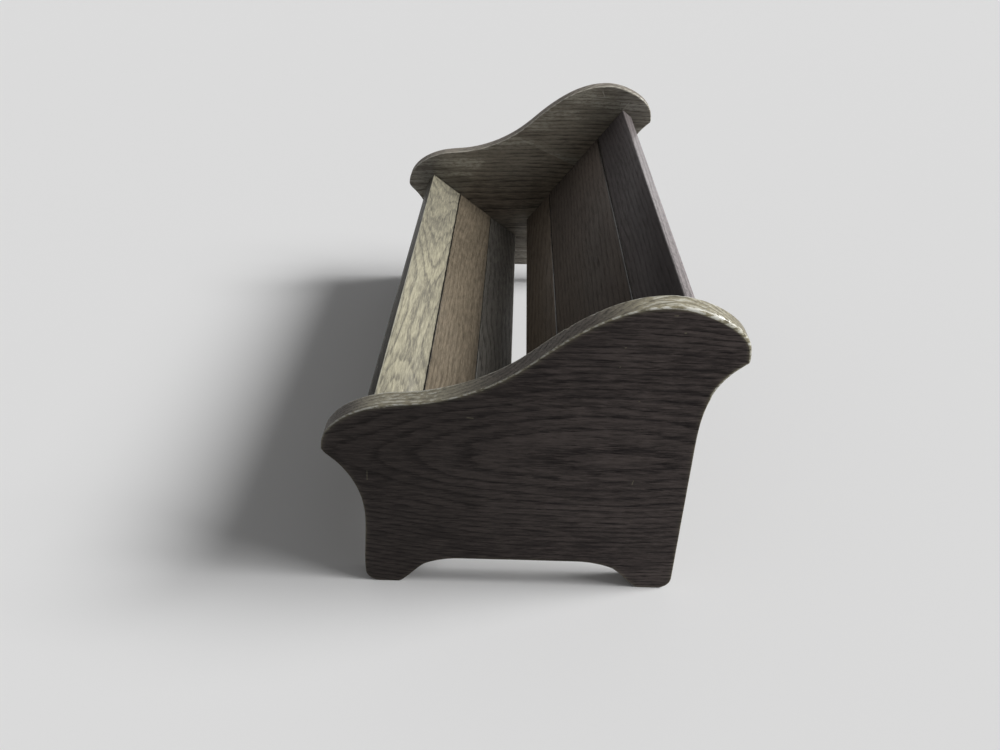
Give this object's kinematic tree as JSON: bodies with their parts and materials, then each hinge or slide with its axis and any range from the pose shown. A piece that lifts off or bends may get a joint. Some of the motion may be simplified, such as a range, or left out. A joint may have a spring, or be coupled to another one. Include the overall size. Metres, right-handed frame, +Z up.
{
  "type": "book slide",
  "caption": "Extending wooden book slide: two shaped ends on feet carry a V-shaped trough of tongue and groove strips, and the ends draw apart to fit a longer row of books.",
  "frame": {"origin": "on the surface that the feet stand on, under the middle of the closed slide's length and of its greatest depth", "axes": "+X along the slide towards the right end, +Y from the open front to the back, +Z up"},
  "size_m": [0.4, 0.217, 0.1921],
  "materials": {
    "oak_end": "dark fumed oak, old wax",
    "oak_shelf_pale": "worn oak, paler from use",
    "oak_shelf": "worn oak, old wax",
    "oak_shelf_dark": "dark fumed oak, old wax",
    "oak_back": "dark fumed oak, old wax",
    "oak_cleat": "bare oak, darkened by age",
    "beech_dowel": "bare beech, glued",
    "steel_screw": "dulled steel"
  },
  "bodies": {
    "right_half": {"right_end": "oak_end", "shelf_front_strip": "oak_shelf_pale", "shelf_rear_strip": "oak_shelf_dark", "back_lower_strip": "oak_back", "back_upper_strip": "oak_back", "shelf_keeper_cleat": "oak_cleat", "back_keeper_cleat": "oak_cleat", "shelf_front_dowel_1": "beech_dowel", "shelf_front_dowel_2": "beech_dowel", "shelf_rear_dowel_1": "beech_dowel", "shelf_rear_dowel_2": "beech_dowel", "back_lower_dowel_1": "beech_dowel", "back_lower_dowel_2": "beech_dowel", "back_upper_dowel_1": "beech_dowel", "back_upper_dowel_2": "beech_dowel", "shelf_keeper_screw_1": "steel_screw", "shelf_keeper_screw_2": "steel_screw", "shelf_keeper_screw_3": "steel_screw", "shelf_keeper_screw_4": "steel_screw", "back_keeper_screw_1": "steel_screw", "back_keeper_screw_2": "steel_screw", "back_keeper_screw_3": "steel_screw", "back_keeper_screw_4": "steel_screw"},
    "left_half": {"left_end": "oak_end", "shelf_middle_strip": "oak_shelf", "back_middle_strip": "oak_back", "shelf_stop_cleat": "oak_cleat", "back_stop_cleat": "oak_cleat", "shelf_middle_dowel_1": "beech_dowel", "shelf_middle_dowel_2": "beech_dowel", "back_middle_dowel_1": "beech_dowel", "back_middle_dowel_2": "beech_dowel", "back_middle_dowel_3": "beech_dowel", "shelf_stop_screw_1": "steel_screw", "shelf_stop_screw_2": "steel_screw", "back_stop_screw_1": "steel_screw", "back_stop_screw_2": "steel_screw"}
  },
  "joints": [
    {"name": "extend", "type": "slide", "parent": "right_half", "child": "left_half", "axis": [-1, 0, 0], "range_m": [0, 0.2]}
  ]
}
